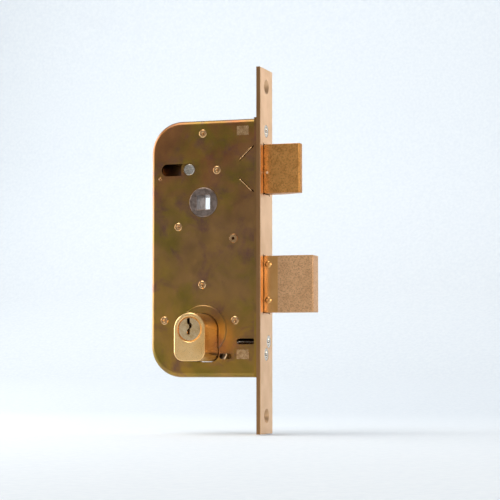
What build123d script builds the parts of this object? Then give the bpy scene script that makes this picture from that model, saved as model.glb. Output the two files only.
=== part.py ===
from build123d import *
import math
import os

# Mortise lock for a timber door, with a latch, a two-throw deadbolt and an oval key cylinder.
# X is the way the bolts are thrown (+X out of the forend), Y is the thickness of the door
# (-Y is the tray side, +Y the cover side) and +Z is up. All sizes are in millimetres.
# Every piece is drawn with X = 0 on the forend's front face, which is where locks are
# measured from. As each piece is saved it moves forward by the forend's thickness, so the
# saved frame has its origin on the forend's back face, which bears on the door, midway
# between the two wood-screw holes.

# ---------------------------------------------------------------- driving dimensions
FOREND_LENGTH = 205.0
FOREND_WIDTH = 22.0
FOREND_THICKNESS = 2.4
WOOD_SCREW_SPACING = 185.0
WOOD_SCREW_HOLE_R = 2.3
WOOD_SCREW_SINK_R = 4.2
BACKING_THICKNESS = 1.3

CASE_TOP = 74.0
CASE_BOTTOM = -71.0
CASE_DEPTH = 66.5                # from the forend's front face to the back of the case
CASE_THICKNESS = 15.0
CASE_CORNER_R = 18.0
SHEET = 1.2
FOLD_R = 2.4

BACKSET = 35.0                   # from the forend's front face to the spindle and the key
HUB_Z = 27.5
CENTRES = 72.0                   # from the spindle down to the key
SPINDLE_SQUARE = 8.0
SPINDLE_CHAMFER = 0.5
HUB_BOSS_R = 8.4
HUB_DISC_R = 9.5
HUB_PROUD = 0.5

LATCH_Z = 45.5
LATCH_HEIGHT = 27.6
LATCH_WIDTH = 10.0
LATCH_HEAD_LENGTH = 21.0
LATCH_THROW = 13.0               # how far the latch stands out of the forend in use
LATCH_DRAWN_GAP = 0.3            # between the forend and a head drawn out to be reversed
LATCH_NOSE = 4.6
LATCH_STEM_R = 2.0
LATCH_PIN_R = 0.8

DEADBOLT_OVER_CYLINDER = 0.6     # room between the cylinder and the foot of the bolt
DEADBOLT_HEIGHT = 31.6
DEADBOLT_WIDTH = 10.0
DEADBOLT_THROW = 28.8            # two turns of the key
DEADBOLT_ROOT = 8.2              # smooth root that shows in front of the forend
DEADBOLT_RIVET_R = 1.9
DEADBOLT_RIVETS = [(2.6, 11.0), (2.6, -9.0)]     # X, and height above the bolt's middle
TONGUE_LENGTH = 6.0              # tongue of the tail inside the solid head
TONGUE_HALF_WIDTH = 2.0
TONGUE_HALF_HEIGHT = 9.0
TALON_X = -24.0                  # first of the two notches that the cam's bit turns in
TALON_DEPTH = 6.0

TAIL_PIN_X = -43.6
TAIL_PIN_Z = 46.3
TAIL_PIN_R = 3.3
TAIL_PIN_NECK_R = 2.5

CYLINDER_WIDTH = 18.0
CYLINDER_DROP = 17.5             # from the plug's axis to the foot of the cylinder
CYLINDER_HALF_LENGTH = 30.0
CYLINDER_FOOT_R = 5.0
CYLINDER_HOLE_GAP = 0.4          # round the cylinder, where it passes the side plates
PLUG_R = 6.9
CAM_HUB_R = 7.3
CAM_R = 12.5
CAM_WIDTH = 5.0
EMBOSS_R = 14.0
EMBOSS_RISE = 0.8

POST_R = 3.0
TENON_R = 1.7
STAKE_R = 2.3                    # riveted ends on the tray
STAKE_RISE = 0.45
POST_SCREW_R = 1.5
FIXING_SCREW_R = 2.0
CYLINDER_SCREW_R = 2.0
CYLINDER_SCREW_DROP = 6.5

RUN = 0.1                        # running clearance of a shaft in its bore, on the radius
SLIDE = 0.35                     # clearance round a sliding bolt
GAP = 0.3                        # clearance between parts that only pass each other

# ---------------------------------------------------------------- sizes that follow
CASE_BACK = -CASE_DEPTH
CASE_FRONT = -FOREND_THICKNESS - BACKING_THICKNESS
Y_TRAY = -CASE_THICKNESS / 2
Y_COVER = CASE_THICKNESS / 2
Y_IN = Y_TRAY + SHEET            # inner face of the tray's plate
Y_LID = Y_COVER - SHEET          # inner face of the cover plate
CYLINDER_SCREW_Y = Y_LID - CYLINDER_SCREW_R - 0.2    # beside the cam, clear of the cover
BACK_IN = CASE_BACK + SHEET
HUB_X = -BACKSET
KEY_X = -BACKSET
KEY_Z = HUB_Z - CENTRES
CYLINDER_SCREW_Z = KEY_Z - CYLINDER_SCREW_DROP
DEADBOLT_Z = KEY_Z + CYLINDER_WIDTH / 2 + DEADBOLT_OVER_CYLINDER + DEADBOLT_HEIGHT / 2
TAIL_THICKNESS = 1.8
TAIL_Y0 = Y_IN + 0.25            # latch and deadbolt tails lie along the tray
TAIL_Y1 = TAIL_Y0 + TAIL_THICKNESS
CAM_Y0 = TAIL_Y1 + GAP + 0.3
CAM_Y1 = CAM_Y0 + 4.4
CAM_SLOT_Y0 = CAM_Y0 - 1.1
CAM_SLOT_Y1 = CAM_Y1 + 1.1
YOKE_FRONT = LATCH_DRAWN_GAP - (LATCH_HEAD_LENGTH + LATCH_DRAWN_GAP - LATCH_THROW) - GAP
YOKE_THICKNESS = 2.0
YOKE_BACK = YOKE_FRONT - YOKE_THICKNESS
LATCH_PIN_X = LATCH_DRAWN_GAP + 1.6
LATCH_PIN_Z = LATCH_Z - 2.1

POST_PLACES = [(-35.3, 66.5), (-58.2, -39.0), (-16.2, -39.2)]
SLEEVE_PLACE = (-17.1, 6.7)
LATCH_STUD_X = -26.9
BOLT_STUD_X = -35.6
PIVOT_PLACE = (-50.0, 13.9)
BLOCK_HEIGHTS = [67.3, -58.2]
BLOCK_BACK = -15.0
BLOCK_TAB_FRONT = -8.0
BLOCK_HEIGHT = 7.0
TAB_HEIGHT = 5.3
BOLT_TAIL_BACK = BACK_IN + DEADBOLT_THROW + FOLD_R - SHEET    # stops short of the fold
BOLT_TAIL_TOP = DEADBOLT_Z + DEADBOLT_HEIGHT / 2 - 2.8
BOLT_ROOT_BACK = CASE_FRONT - 0.4
TOOTH_HALF_WIDTH = 0.8
DETENT_X = BOLT_ROOT_BACK - DEADBOLT_THROW - GAP - TOOTH_HALF_WIDTH
SPRING_Z = 58.0
SPRING_TAB_X = -31.0
SPRING_ROD_R = 1.2
SPRING_WIRE_R = 0.4
SPRING_COIL_R = 2.2
SCREW_WINDOW = (-9.8, 10.8, 3.3)     # middle X, length and height of the slot at the screw
LOWER_WINDOW = (-21.7, 7.4, 3.1)
LOWER_WINDOW_Z = -59.2
SLIT_WIDTH = 0.9
SLIT_ENDS = [(-13.4, 5.4), (-6.2, 12.4), (CASE_FRONT - 1.4, 13.2)]    # X, distance from LATCH_Z
PIP_PLACE = (-61.0, 41.3)            # small locating pip punched in the tray

BOTTOM = (Align.CENTER, Align.CENTER, Align.MIN)


# ---------------------------------------------------------------- helpers
def slab(face, y0, y1):
    """Solid of a flat XZ face between two heights along Y."""
    return extrude(Plane.XZ.offset(-y1) * face, amount=y1 - y0)


def y_rod(r, y0, y1, x, z):
    """Round bar along Y."""
    return slab(Pos(x, z) * Circle(r), y0, y1)


def x_rod(r, x0, x1, y, z):
    """Round bar along X."""
    return extrude(Plane.YZ.offset(x0) * (Pos(y, z) * Circle(r)), amount=x1 - x0)


def x_cone(r0, r1, x0, x1, y, z):
    """Cone along X with radius r0 at x0 and r1 at x1."""
    return Pos(x0, y, z) * Rot(0, 90, 0) * Cone(r0, r1, x1 - x0, align=BOTTOM)


def y_cone(r0, r1, y0, y1, x, z):
    """Cone along Y with radius r0 at y0 and r1 at y1."""
    return Pos(x, y0, z) * Rot(-90, 0, 0) * Cone(r0, r1, y1 - y0, align=BOTTOM)


def block(x0, x1, y0, y1, z0, z1):
    """Box between two corners."""
    centre = Pos((x0 + x1) / 2, (y0 + y1) / 2, (z0 + z1) / 2)
    return centre * Box(x1 - x0, y1 - y0, z1 - z0)


def outline(points):
    """Face with straight sides through a few points."""
    return make_face(Polyline(*points, close=True))


def case_outline(inset):
    """Case seen from the side: square at the forend, two large corners at the back."""
    x0 = CASE_BACK + inset
    z0 = CASE_BOTTOM + inset
    z1 = CASE_TOP - inset
    r = CASE_CORNER_R - inset
    k = r * (1 - math.sqrt(0.5))
    return make_face(
        Curve()
        + Line((CASE_FRONT, z0), (x0 + r, z0))
        + ThreePointArc((x0 + r, z0), (x0 + k, z0 + k), (x0, z0 + r))
        + Line((x0, z0 + r), (x0, z1 - r))
        + ThreePointArc((x0, z1 - r), (x0 + k, z1 - k), (x0 + r, z1))
        + Line((x0 + r, z1), (CASE_FRONT, z1))
        + Line((CASE_FRONT, z1), (CASE_FRONT, z0))
    )


def cylinder_outline(grow):
    """Oval cylinder seen end on, about the plug's axis."""
    r = CYLINDER_WIDTH / 2 + grow
    foot = -CYLINDER_DROP - grow
    c = CYLINDER_FOOT_R
    k = c * (1 - math.sqrt(0.5))
    face = make_face(
        Curve()
        + ThreePointArc((r, 0), (0, r), (-r, 0))
        + Line((-r, 0), (-r, foot + c))
        + ThreePointArc((-r, foot + c), (-r + k, foot + k), (-r + c, foot))
        + Line((-r + c, foot), (r - c, foot))
        + ThreePointArc((r - c, foot), (r - k, foot + k), (r, foot + c))
        + Line((r, foot + c), (r, 0))
    )
    return Pos(KEY_X, KEY_Z) * face


def screw(r, head_r, x_face, length, y, z):
    """Countersunk machine screw driven in along -X from x_face, with a cross recess."""
    sink = head_r - r
    body = x_rod(r, x_face - length, x_face - sink, y, z)
    head = x_cone(r, head_r, x_face - sink, x_face, y, z)
    cross = block(x_face - 1.2, x_face + 1, y - head_r * 0.6, y + head_r * 0.6, z - 0.4, z + 0.4)
    cross += block(x_face - 1.2, x_face + 1, y - 0.4, y + 0.4, z - head_r * 0.6, z + head_r * 0.6)
    return body + head - cross


def sink_hole(r, head_r, y, z, back):
    """Countersunk hole through the forend's plates, from the front face back to X = back."""
    return x_rod(r, back - 1, 1, y, z) + x_cone(r, head_r, -(head_r - r), 0, y, z)


def coil(wire_r, coil_r, length, turns):
    """Helical spring standing on the origin along +Z, with open ends."""
    pitch = (length - 2 * wire_r) / turns
    path = Helix(pitch, pitch * turns, coil_r)
    profile = Plane(path @ 0, z_dir=path % 0) * Circle(wire_r)
    return Pos(0, 0, wire_r) * sweep(profile, path, is_frenet=True)


# ---------------------------------------------------------------- case
def plate_openings(y0, y1):
    """Holes that both side plates share: spindle, cylinder, posts and tabs."""
    cuts = y_rod(HUB_BOSS_R + RUN, y0, y1, HUB_X, HUB_Z)
    cuts += slab(cylinder_outline(CYLINDER_HOLE_GAP), y0, y1)
    for z in BLOCK_HEIGHTS:
        cuts += block(BLOCK_BACK, BLOCK_TAB_FRONT, y0, y1, z - TAB_HEIGHT / 2, z + TAB_HEIGHT / 2)
    return cuts


def guide_slot():
    """Slot for the latch's tail pin, with the pin at its front end at rest."""
    travel = LATCH_THROW + 0.2
    middle = TAIL_PIN_X - travel / 2
    return Pos(middle, TAIL_PIN_Z) * SlotCenterToCenter(travel, 2 * (TAIL_PIN_R + RUN))


def panel_slits():
    """Two slanting slits that leave a spring tongue beside the latch."""
    slits = []
    for side in (1, -1):
        points = [(x, LATCH_Z + side * away) for x, away in SLIT_ENDS]
        back = [(x, z - side * SLIT_WIDTH) for x, z in reversed(points)]
        slits.append(outline(points + back))
    return slits


def make_case_tray():
    tray = slab(case_outline(0), Y_TRAY, Y_LID)
    rim = [e for e in tray.faces().sort_by(Axis.Y)[0].edges() if e.center().X < CASE_FRONT - 0.01]
    tray = fillet(rim, FOLD_R)
    hollow = slab(case_outline(SHEET), Y_IN, Y_COVER)
    floor = hollow.faces().sort_by(Axis.Y)[0].edges()
    rim = [e for e in floor if e.center().X < CASE_FRONT - 0.01]
    tray -= fillet(rim, FOLD_R - SHEET)
    disc = y_rod(EMBOSS_R, Y_TRAY - EMBOSS_RISE, Y_TRAY, KEY_X, KEY_Z)
    tray += chamfer(disc.faces().sort_by(Axis.Y)[0].edges(), EMBOSS_RISE * 0.6)
    tray -= y_rod(EMBOSS_R - 0.8, Y_IN - EMBOSS_RISE, Y_IN, KEY_X, KEY_Z)
    below = Y_TRAY - EMBOSS_RISE - 1
    tray -= plate_openings(below, Y_IN)
    tray -= slab(guide_slot(), below, Y_IN)
    for slit in panel_slits():
        tray -= slab(slit, below, Y_IN)
    for x, z in POST_PLACES + [SLEEVE_PLACE, PIVOT_PLACE]:
        tray -= y_rod(TENON_R, below, Y_IN, x, z)
    tray -= y_rod(TENON_R, below, Y_IN, LATCH_STUD_X, LATCH_Z)
    tray -= y_rod(TENON_R, below, Y_IN, BOLT_STUD_X, DEADBOLT_Z)
    tray -= x_rod(SPRING_ROD_R, CASE_BACK - 1, BACK_IN + 2, 0, SPRING_Z)
    for (x, length, height), z in ((SCREW_WINDOW, CYLINDER_SCREW_Z), (LOWER_WINDOW, LOWER_WINDOW_Z)):
        tray -= slab(Pos(x, z) * SlotOverall(length, height), below, Y_IN)
    return tray + y_cone(0.5, 1.0, Y_TRAY - 0.35, Y_TRAY, *PIP_PLACE)


def make_cover_plate():
    cover = slab(case_outline(0), Y_LID, Y_COVER)
    rim = [e for e in cover.faces().sort_by(Axis.Y)[-1].edges() if e.center().X < CASE_FRONT - 0.01]
    cover = fillet(rim, SHEET * 0.6)
    disc = y_rod(EMBOSS_R, Y_COVER, Y_COVER + EMBOSS_RISE, KEY_X, KEY_Z)
    cover += chamfer(disc.faces().sort_by(Axis.Y)[-1].edges(), EMBOSS_RISE * 0.6)
    cover -= y_rod(EMBOSS_R - 0.8, Y_LID, Y_LID + EMBOSS_RISE, KEY_X, KEY_Z)
    cover -= plate_openings(Y_LID, Y_COVER + EMBOSS_RISE + 1)
    for x, z in POST_PLACES + [SLEEVE_PLACE]:
        cover -= y_rod(POST_SCREW_R + RUN, Y_LID, Y_COVER + 1, x, z)
    x, z = PIVOT_PLACE
    cover -= y_rod(TENON_R, Y_LID, Y_COVER + 1, x, z)
    return cover


def staked(piece, x, z):
    """Adds the upset end that holds a piece in the tray, with its centre-punch mark."""
    piece += y_cone(STAKE_R - 0.5, STAKE_R, Y_TRAY - STAKE_RISE, Y_TRAY, x, z)
    return piece - y_cone(1.0, 0.3, Y_TRAY - STAKE_RISE, Y_TRAY + 0.2, x, z)


def make_case_posts():
    """Three posts riveted to the tray and threaded for the cover screws."""
    posts = []
    for x, z in POST_PLACES:
        post = y_rod(POST_R, Y_IN, Y_LID, x, z)
        post += y_rod(TENON_R, Y_TRAY, Y_IN, x, z)
        post -= y_rod(POST_SCREW_R, Y_LID - 7, Y_LID, x, z)
        posts.append(staked(post, x, z))
    return Compound(children=posts)


def make_cover_sleeve():
    """Tapped sleeve, open right through, that ties the middle of the two plates."""
    x, z = SLEEVE_PLACE
    sleeve = y_rod(POST_R, Y_IN, Y_LID, x, z)
    sleeve += y_rod(TENON_R, Y_TRAY, Y_IN, x, z)
    sleeve += y_cone(STAKE_R, STAKE_R + 0.3, Y_TRAY - STAKE_RISE, Y_TRAY, x, z)
    return sleeve - y_rod(POST_SCREW_R, Y_IN + 3, Y_LID, x, z) - y_rod(0.9, Y_TRAY - 1, Y_LID, x, z)


def make_cover_screws():
    screws = []
    for x, z in POST_PLACES + [SLEEVE_PLACE]:
        head = y_rod(2.8, Y_COVER, Y_COVER + 1.7, x, z)
        head = fillet(head.faces().sort_by(Axis.Y)[-1].edges(), 0.9)
        head -= block(x - 4, x + 4, Y_COVER + 0.9, Y_COVER + 2, z - 0.4, z + 0.4)
        screws.append(head + y_rod(POST_SCREW_R, Y_LID - 5, Y_COVER, x, z))
    return Compound(children=screws)


def make_fixing_blocks():
    """Two threaded blocks staked between the plates; the forend is screwed to them."""
    blocks = []
    for z in BLOCK_HEIGHTS:
        body = block(BLOCK_BACK, CASE_FRONT, Y_IN, Y_LID, z - BLOCK_HEIGHT / 2, z + BLOCK_HEIGHT / 2)
        body += block(BLOCK_BACK, BLOCK_TAB_FRONT, Y_TRAY - 0.2, Y_COVER + 0.2,
                      z - TAB_HEIGHT / 2, z + TAB_HEIGHT / 2)
        body -= x_rod(FIXING_SCREW_R, BLOCK_BACK, CASE_FRONT, 0, z)
        blocks.append(body)
    return Compound(children=blocks)


# ---------------------------------------------------------------- forend
def bolt_opening(z, height, width, x0, x1, clearance):
    """Opening for a bolt, with small relief notches in its corners."""
    w = width / 2 + clearance
    h = height / 2 + clearance
    cut = block(x0, x1, -w, w, z - h, z + h)
    for y in (-w, w):
        for edge in (z - h, z + h):
            cut += x_rod(0.6, x0, x1, y, edge)
    return cut


def forend_openings(clearance):
    cut = bolt_opening(LATCH_Z, LATCH_HEIGHT, LATCH_WIDTH, CASE_FRONT - 1, 1, clearance)
    rivet_room = 0.6
    cut += bolt_opening(DEADBOLT_Z, DEADBOLT_HEIGHT, DEADBOLT_WIDTH + 2 * rivet_room,
                        CASE_FRONT - 1, 1, clearance)
    return cut


def make_forend():
    half = FOREND_LENGTH / 2
    w = FOREND_WIDTH / 2
    plate = block(-FOREND_THICKNESS, 0, -w, w, -half, half)
    plate = chamfer(plate.faces().sort_by(Axis.X)[-1].edges(), 0.3)
    plate -= forend_openings(SLIDE)
    for side in (1, -1):
        plate -= sink_hole(WOOD_SCREW_HOLE_R, WOOD_SCREW_SINK_R, 0,
                           side * WOOD_SCREW_SPACING / 2, -FOREND_THICKNESS)
    for z in BLOCK_HEIGHTS:
        plate -= sink_hole(FIXING_SCREW_R + RUN, FIXING_SCREW_R + 1.7, 0, z, -FOREND_THICKNESS)
    plate -= sink_hole(CYLINDER_SCREW_R + RUN, CYLINDER_SCREW_R + 1.7, CYLINDER_SCREW_Y,
                       CYLINDER_SCREW_Z, -FOREND_THICKNESS)
    return plate


def make_backing_plate():
    """Flat strip behind the forend, as tall as the case, that closes its front."""
    w = FOREND_WIDTH / 2
    plate = block(CASE_FRONT, -FOREND_THICKNESS, -w, w, CASE_BOTTOM, CASE_TOP)
    plate -= forend_openings(SLIDE)
    for z in BLOCK_HEIGHTS:
        plate -= x_rod(FIXING_SCREW_R + RUN, CASE_FRONT - 1, 1, 0, z)
    plate -= x_rod(CYLINDER_SCREW_R + RUN, CASE_FRONT - 1, 1, CYLINDER_SCREW_Y,
                   CYLINDER_SCREW_Z)
    return plate


def make_forend_screws():
    return Compound(children=[screw(FIXING_SCREW_R, FIXING_SCREW_R + 1.6, -0.1, 14.0, 0, z)
                              for z in BLOCK_HEIGHTS])


def make_cylinder_screw():
    reach = -(KEY_X + PLUG_R - 1.4)
    return screw(CYLINDER_SCREW_R, CYLINDER_SCREW_R + 1.6, -0.05, reach - 0.05,
                 CYLINDER_SCREW_Y, CYLINDER_SCREW_Z)


# ---------------------------------------------------------------- spindle follower
def make_follower():
    """Turning hub with a square bore and one finger that pushes the latch's tail pin."""
    hub = y_rod(HUB_DISC_R, Y_IN + GAP, Y_LID - GAP, HUB_X, HUB_Z)
    hub += y_rod(HUB_BOSS_R, Y_TRAY - HUB_PROUD, Y_COVER + HUB_PROUD, HUB_X, HUB_Z)
    ends = [hub.faces().sort_by(Axis.Y)[0], hub.faces().sort_by(Axis.Y)[-1]]
    hub = chamfer([e for f in ends for e in f.edges()], 0.5)
    left = TAIL_PIN_X + TAIL_PIN_NECK_R + GAP
    top = TAIL_PIN_Z + 8.2
    finger = block(left, left + 6.0, TAIL_Y1 + GAP, Y_LID - 0.6, HUB_Z, top)
    finger = fillet(finger.faces().sort_by(Axis.Z)[-1].edges().filter_by(Axis.Y), 1.5)
    hub += finger
    half = SPINDLE_SQUARE / 2
    y0 = Y_TRAY - HUB_PROUD
    y1 = Y_COVER + HUB_PROUD
    bore = block(HUB_X - half, HUB_X + half, y0, y1, HUB_Z - half, HUB_Z + half)
    hub -= chamfer(bore.edges().filter_by(Axis.Y), 0.2)
    for y, way in ((y0, 1), (y1, -1)):
        mouth = Plane(origin=(HUB_X, y, HUB_Z), x_dir=(1, 0, 0), z_dir=(0, way, 0))
        wide = SPINDLE_SQUARE + 2 * SPINDLE_CHAMFER
        hub -= loft([mouth * Rectangle(wide, wide),
                     mouth.offset(SPINDLE_CHAMFER) * Rectangle(SPINDLE_SQUARE, SPINDLE_SQUARE)])
    return hub


# ---------------------------------------------------------------- latch
def make_latch_head():
    """Bevelled head, drawn out of the forend as it is when its hand is changed."""
    x0 = LATCH_DRAWN_GAP
    x1 = x0 + LATCH_HEAD_LENGTH
    w = LATCH_WIDTH / 2
    bevel_start = x1 - LATCH_THROW
    side = Plane.XY.offset(LATCH_Z - LATCH_HEIGHT / 2)
    plan = outline([(x0, -w), (x1, -w), (x1, -w + LATCH_NOSE), (bevel_start, w), (x0, w)])
    head = extrude(side * plan, amount=LATCH_HEIGHT)
    nose = [e for e in head.edges().filter_by(Axis.Z) if e.center().X > bevel_start + 1]
    head = fillet(nose, 1.2)
    head = chamfer(head.faces().sort_by(Axis.Z)[0].edges() + head.faces().sort_by(Axis.Z)[-1].edges(), 0.3)
    head -= x_rod(LATCH_STEM_R + 0.05, x0 - 1, x0 + 8.5, 0, LATCH_Z)
    head -= y_rod(LATCH_PIN_R, -w, w, LATCH_PIN_X, LATCH_PIN_Z)
    return head


def make_latch_head_pin():
    """Cross pin that lies in the stem's groove and holds the head on, free to turn."""
    w = LATCH_WIDTH / 2 - 0.5
    return y_rod(LATCH_PIN_R, -w, w, LATCH_PIN_X, LATCH_PIN_Z)


def make_latch_stem():
    x0 = YOKE_BACK - 2.7
    x1 = LATCH_DRAWN_GAP + 8.0
    stem = x_rod(LATCH_STEM_R, x0, x1, 0, LATCH_Z)
    ring = x_rod(LATCH_STEM_R + 1, LATCH_PIN_X - 0.9, LATCH_PIN_X + 0.9, 0, LATCH_Z)
    stem -= ring - x_rod(1.2, LATCH_PIN_X - 1, LATCH_PIN_X + 1, 0, LATCH_Z)
    seat = x_rod(LATCH_STEM_R + 1, YOKE_BACK - 1.6, YOKE_BACK - 0.8, 0, LATCH_Z)
    return stem - (seat - x_rod(1.5, YOKE_BACK - 2, YOKE_BACK, 0, LATCH_Z))


def make_latch_stem_clip():
    """Retaining clip in the stem's groove behind the carriage's yoke."""
    clip = x_rod(3.5, YOKE_BACK - 1.55, YOKE_BACK - 0.85, 0, LATCH_Z)
    clip -= x_rod(1.5, YOKE_BACK - 2, YOKE_BACK, 0, LATCH_Z)
    return clip - block(YOKE_BACK - 2, YOKE_BACK, -1.2, 1.2, LATCH_Z - 4, LATCH_Z - 1.3)


def make_latch_carriage():
    """Sheet tail with a bent yoke for the stem and a bent tab for the spring."""
    back = TAIL_PIN_X - 5.2
    tail = block(back, YOKE_BACK, TAIL_Y0, TAIL_Y1, LATCH_Z - 5.6, LATCH_Z + 5.6)
    tail = fillet(tail.edges().filter_by(Axis.Y).group_by(Axis.X)[0], 3.0)
    tail += block(YOKE_BACK, YOKE_FRONT, TAIL_Y0, Y_LID - 1.3, LATCH_Z - 10.5, LATCH_Z + 10.5)
    tail += block(SPRING_TAB_X - 3, SPRING_TAB_X + 1.6, TAIL_Y0, TAIL_Y1, LATCH_Z, SPRING_Z + 3.2)
    tail += block(SPRING_TAB_X, SPRING_TAB_X + 1.6, TAIL_Y0, 2.9, SPRING_Z - 3.2, SPRING_Z + 3.2)
    tail -= x_rod(SPRING_ROD_R + RUN, SPRING_TAB_X - 1, SPRING_TAB_X + 3, 0, SPRING_Z)
    tail -= x_rod(LATCH_STEM_R + RUN, YOKE_BACK - 1, YOKE_FRONT + 1, 0, LATCH_Z)
    tail -= y_rod(TAIL_PIN_NECK_R, TAIL_Y0, TAIL_Y1, TAIL_PIN_X, TAIL_PIN_Z)
    middle = LATCH_STUD_X + LATCH_THROW / 2
    slot = Pos(middle, LATCH_Z) * SlotCenterToCenter(LATCH_THROW + 0.2, 2 * (2.5 + RUN))
    return tail - slab(slot, TAIL_Y0, TAIL_Y1)


def make_latch_tail_pin():
    """Pin riveted through the tail: its head runs in the tray's slot, its end meets the finger."""
    pin = y_rod(TAIL_PIN_R, Y_TRAY - 0.2, TAIL_Y0 - 0.05, TAIL_PIN_X, TAIL_PIN_Z)
    pin = chamfer(pin.faces().sort_by(Axis.Y)[0].edges(), 0.4)
    pin += y_rod(TAIL_PIN_NECK_R, TAIL_Y0 - 0.05, Y_LID - GAP, TAIL_PIN_X, TAIL_PIN_Z)
    notch = block(TAIL_PIN_X - 4, TAIL_PIN_X + 4, Y_TRAY - 1, Y_TRAY + 0.5,
                  TAIL_PIN_Z - 0.5, TAIL_PIN_Z + 0.5)
    return pin - notch


def make_latch_stud():
    stud = y_rod(2.5, Y_IN, TAIL_Y1 - 0.05, LATCH_STUD_X, LATCH_Z)
    stud += y_rod(TENON_R, Y_TRAY, Y_IN, LATCH_STUD_X, LATCH_Z)
    return staked(stud, LATCH_STUD_X, LATCH_Z)


def make_latch_spring_rod():
    """Rod riveted in the back wall that keeps the latch spring straight."""
    return x_rod(SPRING_ROD_R, CASE_BACK + 0.2, SPRING_TAB_X + 6, 0, SPRING_Z)


def make_latch_spring():
    seat = BACK_IN + 0.9
    length = SPRING_TAB_X - seat - 0.2
    return Pos(seat, 0, SPRING_Z) * Rot(0, 90, 0) * coil(SPRING_WIRE_R, SPRING_COIL_R, length, 10)


# ---------------------------------------------------------------- deadbolt
def tongue_block():
    """Tongue on the tail's root, which fills a slot in the back of the head."""
    return block(DEADBOLT_ROOT, DEADBOLT_ROOT + TONGUE_LENGTH, -TONGUE_HALF_WIDTH, TONGUE_HALF_WIDTH,
                 DEADBOLT_Z - TONGUE_HALF_HEIGHT, DEADBOLT_Z + TONGUE_HALF_HEIGHT)


def make_deadbolt_tail():
    """Root block that carries the head, and a forked tail that slides along the tray."""
    h = DEADBOLT_HEIGHT / 2
    w = DEADBOLT_WIDTH / 2
    back = BOLT_TAIL_BACK
    root = block(BOLT_ROOT_BACK, DEADBOLT_ROOT, -w, w, DEADBOLT_Z - h, DEADBOLT_Z + h)
    tail = block(back, BOLT_ROOT_BACK, TAIL_Y0, TAIL_Y1, DEADBOLT_Z - h + 0.3, BOLT_TAIL_TOP)
    tail = fillet(tail.edges().filter_by(Axis.Y).group_by(Axis.X)[0], 0.6)
    slot_front = BOLT_STUD_X + DEADBOLT_THROW + 2.5 + RUN
    tail -= block(back - 1, slot_front, TAIL_Y0, TAIL_Y1, DEADBOLT_Z - 2.5 - RUN, DEADBOLT_Z + 2.5 + RUN)
    for turn in (0, 1):
        x = TALON_X + turn * DEADBOLT_THROW / 2
        foot = DEADBOLT_Z - h
        talon = [(x - 5.5, foot), (x - 3.5, foot + TALON_DEPTH), (x + 3.5, foot + TALON_DEPTH), (x + 5.5, foot)]
        tail -= slab(outline(talon), TAIL_Y0, TAIL_Y1)
    for turn in (0, 1, 2):
        x = DETENT_X + turn * DEADBOLT_THROW / 2
        tail -= slab(outline([(x - 1.1, BOLT_TAIL_TOP), (x, BOLT_TAIL_TOP - 1.5),
                              (x + 1.1, BOLT_TAIL_TOP)]), TAIL_Y0, TAIL_Y1)
    heel = block(BOLT_ROOT_BACK - 2.0, BOLT_ROOT_BACK, TAIL_Y1, w, KEY_Z + CAM_R + GAP, BOLT_TAIL_TOP)
    bolt = root + tongue_block() + tail + heel
    for x, up in DEADBOLT_RIVETS:
        bolt -= y_rod(DEADBOLT_RIVET_R - 0.4, -w, w, x, DEADBOLT_Z + up)
    return bolt


def make_deadbolt_head():
    """Solid sintered head, slotted at the back for the tail's tongue."""
    h = DEADBOLT_HEIGHT / 2
    w = DEADBOLT_WIDTH / 2
    head = block(DEADBOLT_ROOT, DEADBOLT_THROW, -w, w, DEADBOLT_Z - h, DEADBOLT_Z + h)
    head = fillet(head.faces().sort_by(Axis.X)[-1].edges(), 0.6)
    return head - tongue_block()


def make_deadbolt_rivets():
    w = DEADBOLT_WIDTH / 2
    rivets = []
    small = DEADBOLT_RIVET_R - 0.8
    for x, up in DEADBOLT_RIVETS:
        z = DEADBOLT_Z + up
        rivet = y_rod(DEADBOLT_RIVET_R - 0.4, -w, w, x, z)
        rivet += y_cone(small, DEADBOLT_RIVET_R, -w - 0.5, -w, x, z)
        rivet += y_cone(DEADBOLT_RIVET_R, small, w, w + 0.5, x, z)
        rivets.append(rivet)
    return Compound(children=rivets)


def make_deadbolt_stud():
    stud = y_rod(2.5, Y_IN, TAIL_Y1 - 0.05, BOLT_STUD_X, DEADBOLT_Z)
    stud += y_rod(TENON_R, Y_TRAY, Y_IN, BOLT_STUD_X, DEADBOLT_Z)
    return staked(stud, BOLT_STUD_X, DEADBOLT_Z)


# ---------------------------------------------------------------- detent
def make_detent_pivot():
    x, z = PIVOT_PLACE
    pivot = y_rod(2.5, Y_IN, Y_LID, x, z)
    pivot += y_rod(TENON_R, Y_TRAY, Y_COVER, x, z)
    return staked(pivot, x, z)


def detent_peg():
    """Place of the lever's peg, which the spring presses down."""
    return DETENT_X - 3.5, BOLT_TAIL_TOP + 8.0


def make_detent_lever():
    """Lever that drops on the deadbolt's tail and holds it at each end of its throw."""
    x, z = PIVOT_PLACE
    tooth_z = BOLT_TAIL_TOP + GAP
    arm = outline([(x + 1.0, z - 5.0), (DETENT_X - 3.0, tooth_z + 4.0), (DETENT_X - 0.5, tooth_z),
                   (DETENT_X + 0.5, tooth_z), (DETENT_X + TOOTH_HALF_WIDTH, tooth_z + 4.0),
                   (DETENT_X + TOOTH_HALF_WIDTH, tooth_z + 7.5), (x + 2.0, z + 5.0)])
    plate = slab(arm, TAIL_Y0 + 0.1, TAIL_Y1 - 0.1)
    plate += y_rod(5.4, TAIL_Y0 + 0.1, TAIL_Y1 - 0.1, x, z)
    plate += y_rod(1.0, TAIL_Y1 - 0.1, 0.6, *detent_peg())
    return plate - y_rod(2.5 + RUN, Y_IN, Y_LID, x, z)


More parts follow.
